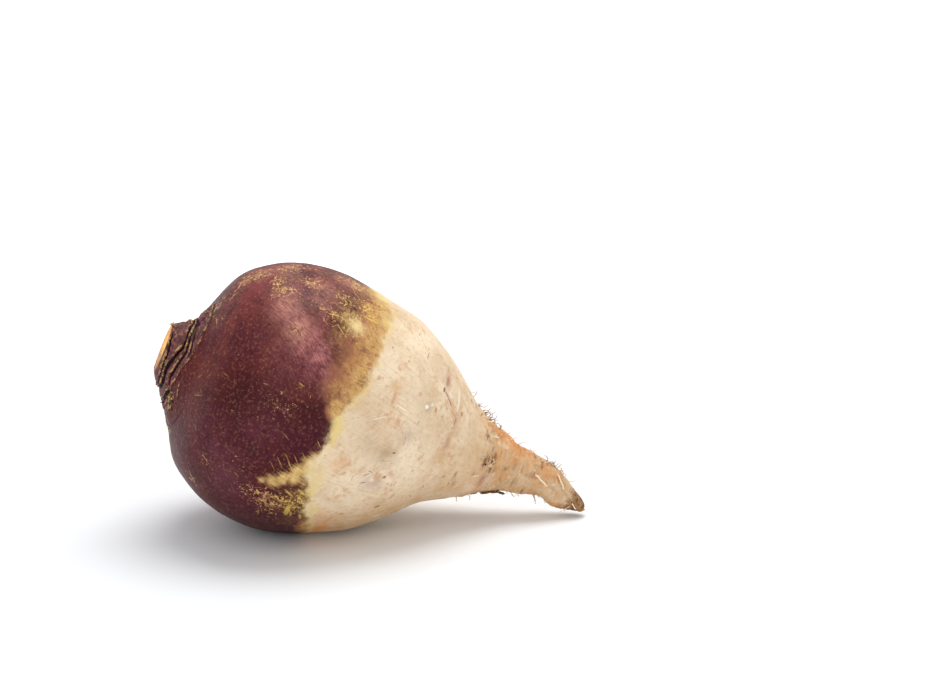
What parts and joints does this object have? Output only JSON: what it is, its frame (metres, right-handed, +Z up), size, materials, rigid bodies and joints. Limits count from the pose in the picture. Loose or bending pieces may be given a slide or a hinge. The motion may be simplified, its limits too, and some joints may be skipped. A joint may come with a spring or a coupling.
{
  "type": "turnip",
  "caption": "Purple-topped swede turnip, whole, trimmed at the neck, with its taproot and rootlets, lying on its side on a small flat spot.",
  "frame": {"origin": "the middle of the flat spot on the belly that the turnip rests on", "axes": "+X along the root as it lies, from the cut crown to the tip of the taproot; +Z up"},
  "size_m": [0.1796, 0.1096, 0.1104],
  "materials": {
    "skin": "waxy root skin, deep purple over the crown half and cream below, satin",
    "cut_flesh": "dried cut face of the neck, pale yellow, matt",
    "rootlet": "dry rootlets and fibres, pale tan, matt",
    "soil": "dried soil, matt"
  },
  "bodies": {
    "root": {"turnip": "skin"}
  },
  "joints": []
}
